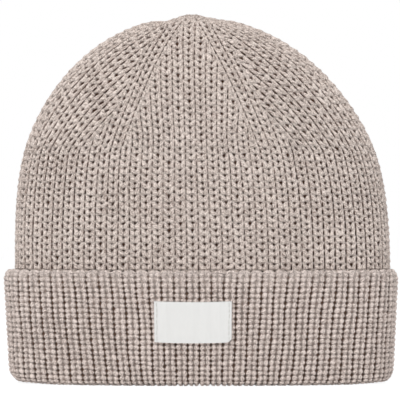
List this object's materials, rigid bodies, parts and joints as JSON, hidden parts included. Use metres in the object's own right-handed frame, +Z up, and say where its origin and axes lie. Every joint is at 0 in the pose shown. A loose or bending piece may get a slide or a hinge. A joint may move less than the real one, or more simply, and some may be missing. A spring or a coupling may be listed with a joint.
{
  "type": "knit beanie",
  "caption": "Ribbed knit beanie with a turned-up cuff, a crown of gores drawn in at the tip, a bare woven label on the cuff and a care label inside.",
  "frame": {"origin": "on the ground, below the middle of the cuff", "axes": "+Z up through the crown, +X across the hat to the right as seen from the front, -Y out of the front, where the label is"},
  "size_m": [0.2198, 0.0823, 0.206],
  "materials": {
    "crown_knit": "matt wool rib, soft and slightly hairy",
    "cuff_knit": "matt wool rib, the knit's other face",
    "linking_yarn": "matt wool yarn",
    "woven_label": "fine woven polyester tape, faint sheen",
    "sewing_thread": "smooth sewing thread",
    "care_label": "thin satin tape"
  },
  "bodies": {
    "cuff": {"cuff_layer": "cuff_knit", "cuff_fold": "cuff_knit", "cuff_edge": "cuff_knit", "cuff_seam": "linking_yarn", "front_label": "woven_label", "label_tab_left": "woven_label", "label_tab_right": "woven_label", "label_stitches_left": "sewing_thread", "label_stitches_right": "sewing_thread"},
    "crown": {"inner_band": "crown_knit", "crown_tube": "crown_knit", "crown_front_gore": "crown_knit", "crown_back_gore": "crown_knit", "crown_left_gore": "crown_knit", "crown_right_gore": "crown_knit", "crown_gather": "crown_knit", "closing_yarn": "linking_yarn", "back_seam": "linking_yarn", "care_label_stitches": "sewing_thread"},
    "care_tag": {"care_label": "care_label"}
  },
  "joints": [
    {"name": "crown_rise", "type": "slide", "parent": "cuff", "child": "crown", "axis": [0, 0, 1], "range_m": [0, 0.055]},
    {"name": "care_label_swing", "type": "hinge", "parent": "crown", "child": "care_tag", "pos_m": [0.0055, 0.03005, 0.06], "axis": [-1, 0, 0], "range_deg": [0, 85]}
  ]
}
